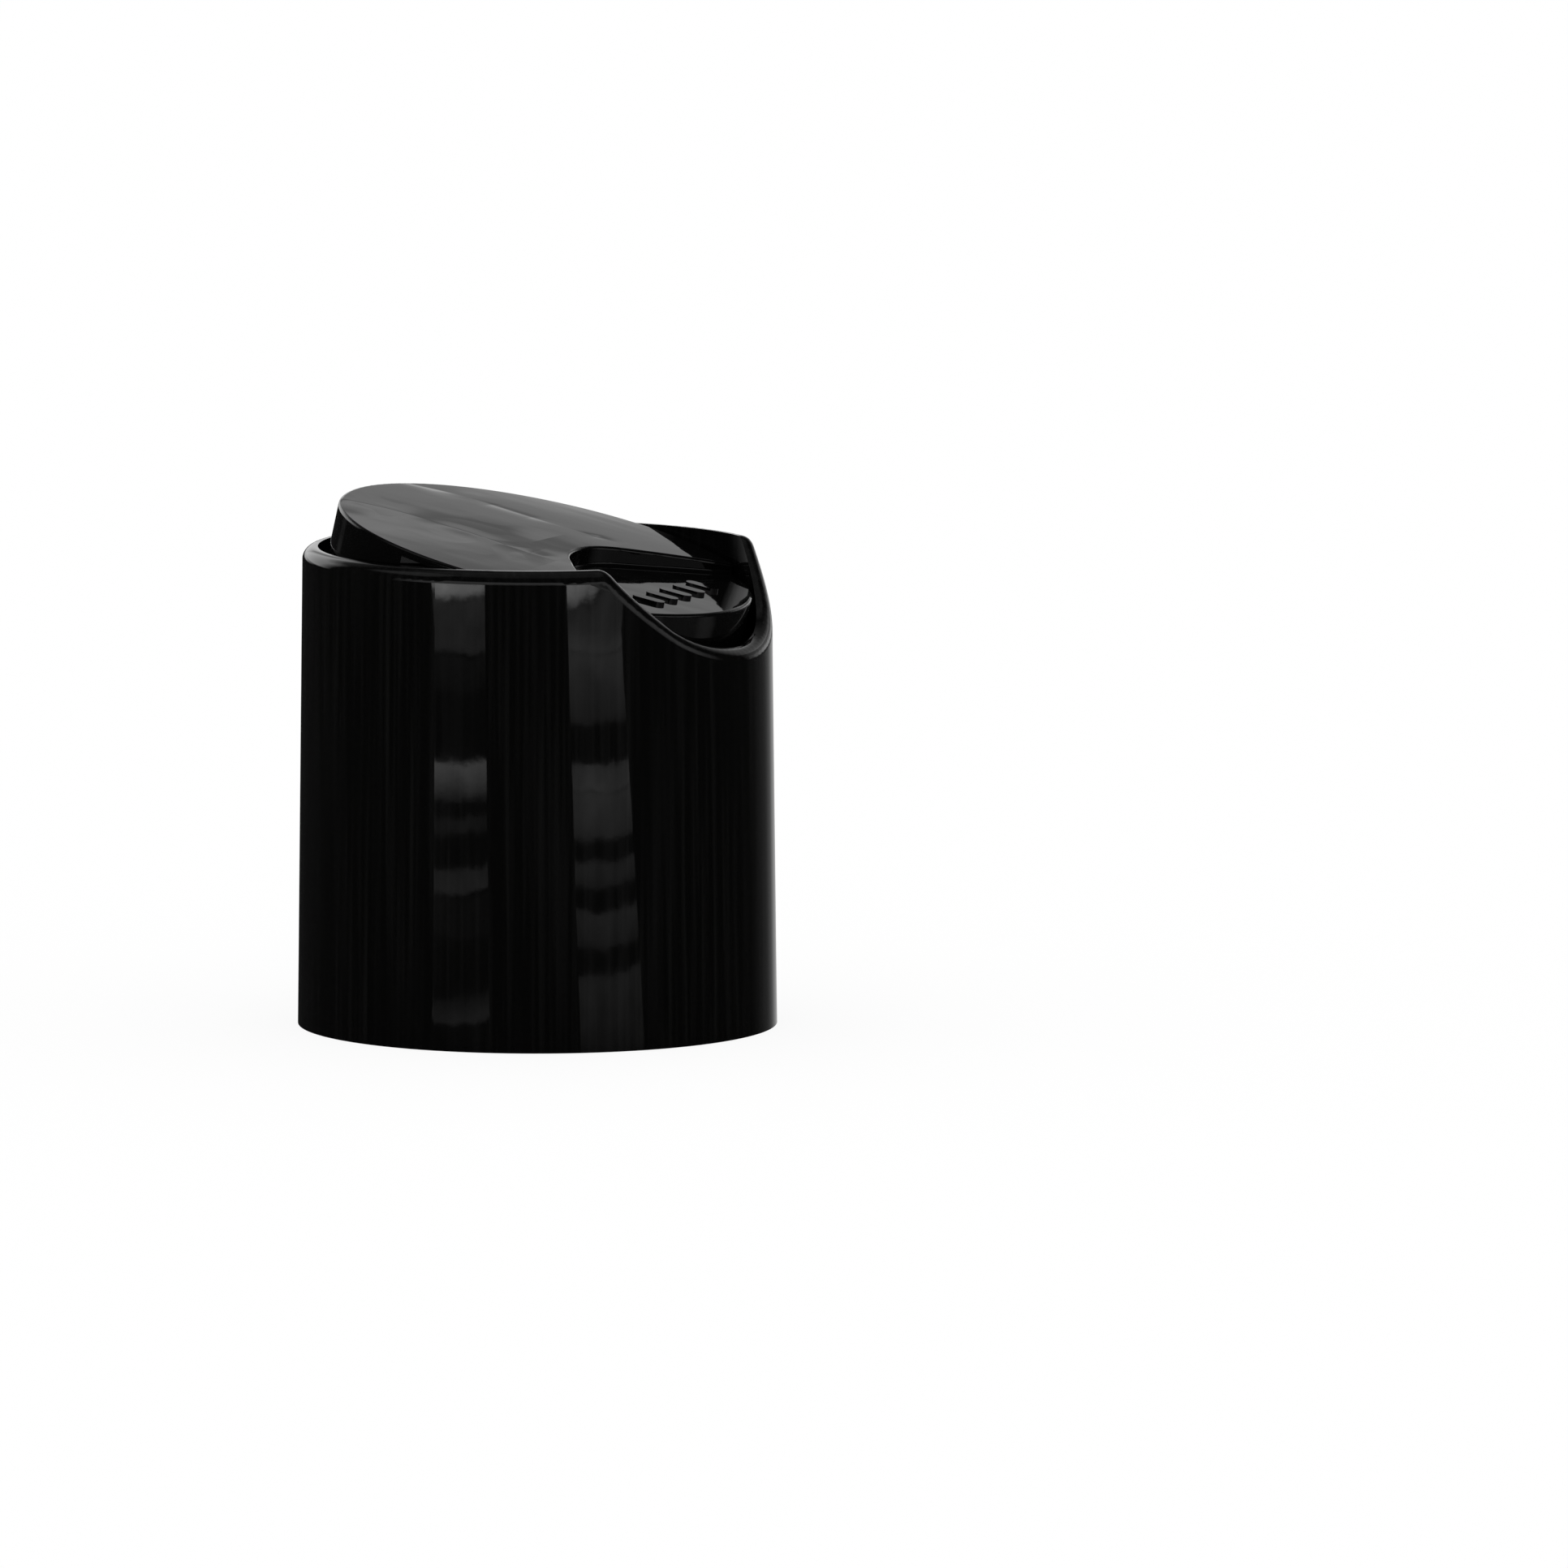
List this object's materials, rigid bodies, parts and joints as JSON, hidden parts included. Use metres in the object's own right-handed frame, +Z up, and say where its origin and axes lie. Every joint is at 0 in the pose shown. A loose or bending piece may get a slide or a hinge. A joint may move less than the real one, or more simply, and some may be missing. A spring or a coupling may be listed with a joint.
{
  "type": "disc top cap",
  "caption": "Screw cap for a bottle with a press-to-tilt disc that opens a small pour outlet at the front; shown open.",
  "frame": {"origin": "middle of the bottom rim, on the plane that the cap stands on", "axes": "+Z up along the cap's axis, -Y to the pour outlet, +Y to the press pad and the finger notch, X along the disc's trunnions"},
  "size_m": [0.0276, 0.0276, 0.0304],
  "materials": {
    "cap_black": "polished black polypropylene",
    "liner_white": "white faced wad"
  },
  "bodies": {
    "base": {"closure_body": "cap_black", "liner": "liner_white"},
    "tilting_disc": {"disc": "cap_black"}
  },
  "joints": [
    {"name": "disc_tilt", "type": "hinge", "parent": "base", "child": "tilting_disc", "pos_m": [0, 0.0019, 0.0248], "axis": [1, 0, 0], "range_deg": [0, 13.3]}
  ]
}
